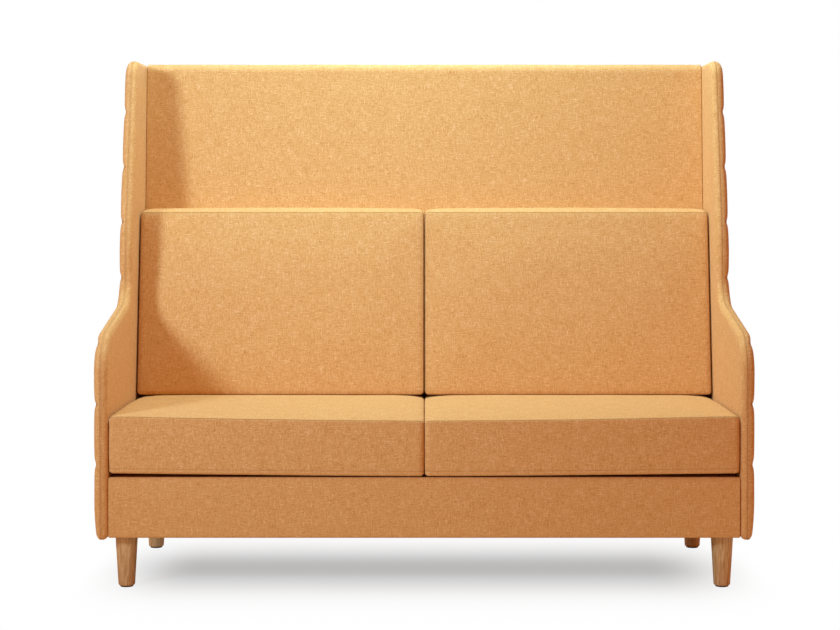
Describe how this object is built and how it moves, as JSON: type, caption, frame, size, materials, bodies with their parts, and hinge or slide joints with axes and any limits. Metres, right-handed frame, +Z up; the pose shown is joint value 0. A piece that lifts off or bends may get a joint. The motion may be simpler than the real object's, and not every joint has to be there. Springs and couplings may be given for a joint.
{
  "type": "high back settee",
  "caption": "High back settee with upholstered winged side panels, a tall leaning back, loose seat and back cushions, a boxed base and short tapered wooden legs.",
  "frame": {"origin": "centre of the settee's outline on the floor, at the underside of the leg glides", "axes": "+X to the right seen from the front, +Y from the front to the back, +Z up"},
  "size_m": [1.68, 0.7902, 1.39],
  "materials": {
    "wool_cloth": "woven melange wool",
    "oak": "oiled",
    "plywood": "sanded",
    "frame_timber": "planed",
    "zip": "woven tape with moulded teeth",
    "foam": "open-cell foam",
    "webbing": "woven jute",
    "spring_steel": "oiled wire and strip",
    "felt": "needled felt",
    "dust_cloth": "spun-bonded cloth",
    "glide_nylon": "moulded",
    "zinc_steel": "zinc plated"
  },
  "bodies": {
    "settee_frame": {"back_bottom_rail": "frame_timber", "back_centre_stile": "frame_timber", "back_front_cover": "wool_cloth", "back_front_foam": "foam", "back_lumbar_rails": "frame_timber", "back_rear_cover": "wool_cloth", "back_rear_foam": "foam", "back_stile_left": "frame_timber", "back_stile_right": "frame_timber", "back_to_side_bolts": "zinc_steel", "back_top_rail": "frame_timber", "back_webbing": "webbing", "base_front_cover": "wool_cloth", "base_front_pad": "foam", "base_to_side_bolts": "zinc_steel", "centre_rail": "frame_timber", "corner_blocks": "frame_timber", "dust_cover": "dust_cloth", "front_left_leg": "oak", "front_rail": "frame_timber", "front_right_leg": "oak", "leg_bolts": "zinc_steel", "leg_glides": "glide_nylon", "leg_sleeve_nuts": "zinc_steel", "platform_cover": "wool_cloth", "rear_left_leg": "oak", "rear_rail": "frame_timber", "rear_right_leg": "oak", "seat_deck_felt": "felt", "seat_springs": "spring_steel", "side_core_left": "plywood", "side_core_right": "plywood", "side_foam_left": "foam", "side_foam_right": "foam", "side_inner_cover_left": "wool_cloth", "side_inner_cover_right": "wool_cloth", "side_outer_cover_left": "wool_cloth", "side_outer_cover_right": "wool_cloth", "side_rail_left": "frame_timber", "side_rail_right": "frame_timber", "side_tee_nuts": "zinc_steel", "spring_clips": "spring_steel"},
    "seat_cushion_left": {"seat_cushion_cover_left": "wool_cloth", "seat_cushion_foam_left": "foam", "seat_cushion_zip_left": "zip"},
    "back_cushion_left": {"back_cushion_cover_left": "wool_cloth", "back_cushion_foam_left": "foam", "back_cushion_zip_left": "zip"},
    "seat_cushion_right": {"seat_cushion_cover_right": "wool_cloth", "seat_cushion_foam_right": "foam", "seat_cushion_zip_right": "zip"},
    "back_cushion_right": {"back_cushion_cover_right": "wool_cloth", "back_cushion_foam_right": "foam", "back_cushion_zip_right": "zip"}
  },
  "joints": [
    {"name": "seat_cushion_left_pull", "type": "slide", "parent": "settee_frame", "child": "seat_cushion_left", "axis": [0, -1, 0], "range_m": [0, 0.62]},
    {"name": "back_cushion_left_lift", "type": "slide", "parent": "settee_frame", "child": "back_cushion_left", "axis": [0, -0.9063, 0.4226], "range_m": [0, 0.75]},
    {"name": "seat_cushion_right_pull", "type": "slide", "parent": "settee_frame", "child": "seat_cushion_right", "axis": [0, -1, 0], "range_m": [0, 0.62]},
    {"name": "back_cushion_right_lift", "type": "slide", "parent": "settee_frame", "child": "back_cushion_right", "axis": [0, -0.9063, 0.4226], "range_m": [0, 0.75]}
  ]
}
